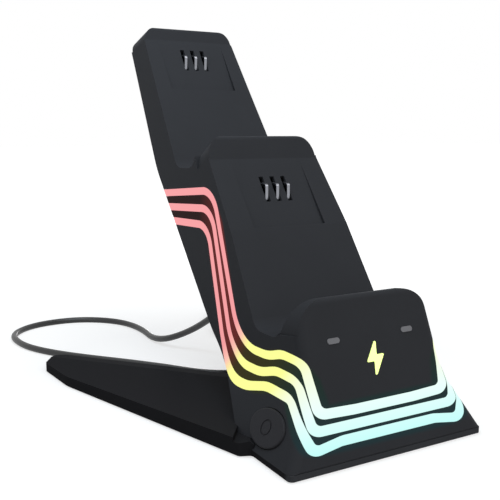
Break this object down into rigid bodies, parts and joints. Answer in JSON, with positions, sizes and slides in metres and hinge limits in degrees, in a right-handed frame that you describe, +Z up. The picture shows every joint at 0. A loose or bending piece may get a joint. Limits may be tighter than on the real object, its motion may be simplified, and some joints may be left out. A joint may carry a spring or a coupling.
{
  "type": "controller charging dock",
  "caption": "Stepped, leaning dock that charges game controllers on stacked cradles with spring contacts, lit stripes round its sides, a push button, a swept base and a lead.",
  "frame": {"origin": "bottom centre of the dock without its lead, on the ground", "axes": "+Z up, +Y from the front lip to the tall back, +X to the right seen from the front"},
  "size_m": [0.1769, 0.2652, 0.1776],
  "materials": {
    "shell_plastic": "fine matte",
    "base_plastic": "fine matte",
    "button_plastic": "fine matte",
    "carrier_plastic": "matte",
    "pad_rubber": "matte",
    "light_guide": "lit, milky",
    "status_lens": "lit, milky",
    "emblem_lens": "lit, milky",
    "circuit_board": "lacquered",
    "board_part": "moulded",
    "contact_metal": "plated",
    "screw_steel": "plated",
    "lead_rubber": "satin",
    "plug_metal": "plated",
    "plug_insert": "moulded"
  },
  "bodies": {
    "dock": {"housing": "shell_plastic", "back_cover": "shell_plastic", "base": "base_plastic", "foot_pad_front": "pad_rubber", "foot_pad_left": "pad_rubber", "foot_pad_right": "pad_rubber", "light_guide_upper": "light_guide", "light_guide_middle": "light_guide", "light_guide_lower": "light_guide", "led_board_left": "circuit_board", "led_board_right": "circuit_board", "front_board": "circuit_board", "button_board": "circuit_board", "main_board": "circuit_board", "side_leds": "board_part", "front_leds": "board_part", "board_parts": "board_part", "button_switch": "board_part", "status_lens_left": "status_lens", "status_lens_right": "status_lens", "emblem_lens": "emblem_lens", "contact_carrier_lower": "carrier_plastic", "contact_carrier_upper": "carrier_plastic", "base_screws": "screw_steel", "cover_screws": "screw_steel", "cable_gland": "lead_rubber", "cord": "lead_rubber", "cord_coil": "lead_rubber", "plug_grip": "lead_rubber", "plug_shell": "plug_metal", "plug_tongue": "plug_insert"},
    "button": {"mode_button": "button_plastic"},
    "contact_lower_left": {"contact_lower_left": "contact_metal"},
    "contact_lower_middle": {"contact_lower_middle": "contact_metal"},
    "contact_lower_right": {"contact_lower_right": "contact_metal"},
    "contact_upper_left": {"contact_upper_left": "contact_metal"},
    "contact_upper_middle": {"contact_upper_middle": "contact_metal"},
    "contact_upper_right": {"contact_upper_right": "contact_metal"}
  },
  "joints": [
    {"name": "button_press", "type": "slide", "parent": "dock", "child": "button", "axis": [0.8669, 0, -0.4985], "range_m": [0, 0.0008], "stiffness_N_per_m": 1500},
    {"name": "contact_lower_left_press", "type": "hinge", "parent": "dock", "child": "contact_lower_left", "pos_m": [-0.0058, -0.0118, 0.08882], "axis": [-1, 0, 0], "range_deg": [0, 10], "stiffness_Nm_per_rad": 0.04},
    {"name": "contact_lower_middle_press", "type": "hinge", "parent": "dock", "child": "contact_lower_middle", "pos_m": [0, -0.0118, 0.08882], "axis": [-1, 0, 0], "range_deg": [0, 10], "stiffness_Nm_per_rad": 0.04},
    {"name": "contact_lower_right_press", "type": "hinge", "parent": "dock", "child": "contact_lower_right", "pos_m": [0.0058, -0.0118, 0.08882], "axis": [-1, 0, 0], "range_deg": [0, 10], "stiffness_Nm_per_rad": 0.04},
    {"name": "contact_upper_left_press", "type": "hinge", "parent": "dock", "child": "contact_upper_left", "pos_m": [-0.0058, 0.07297, 0.15264], "axis": [-1, 0, 0], "range_deg": [0, 10], "stiffness_Nm_per_rad": 0.04},
    {"name": "contact_upper_middle_press", "type": "hinge", "parent": "dock", "child": "contact_upper_middle", "pos_m": [0, 0.07297, 0.15264], "axis": [-1, 0, 0], "range_deg": [0, 10], "stiffness_Nm_per_rad": 0.04},
    {"name": "contact_upper_right_press", "type": "hinge", "parent": "dock", "child": "contact_upper_right", "pos_m": [0.0058, 0.07297, 0.15264], "axis": [-1, 0, 0], "range_deg": [0, 10], "stiffness_Nm_per_rad": 0.04}
  ]
}
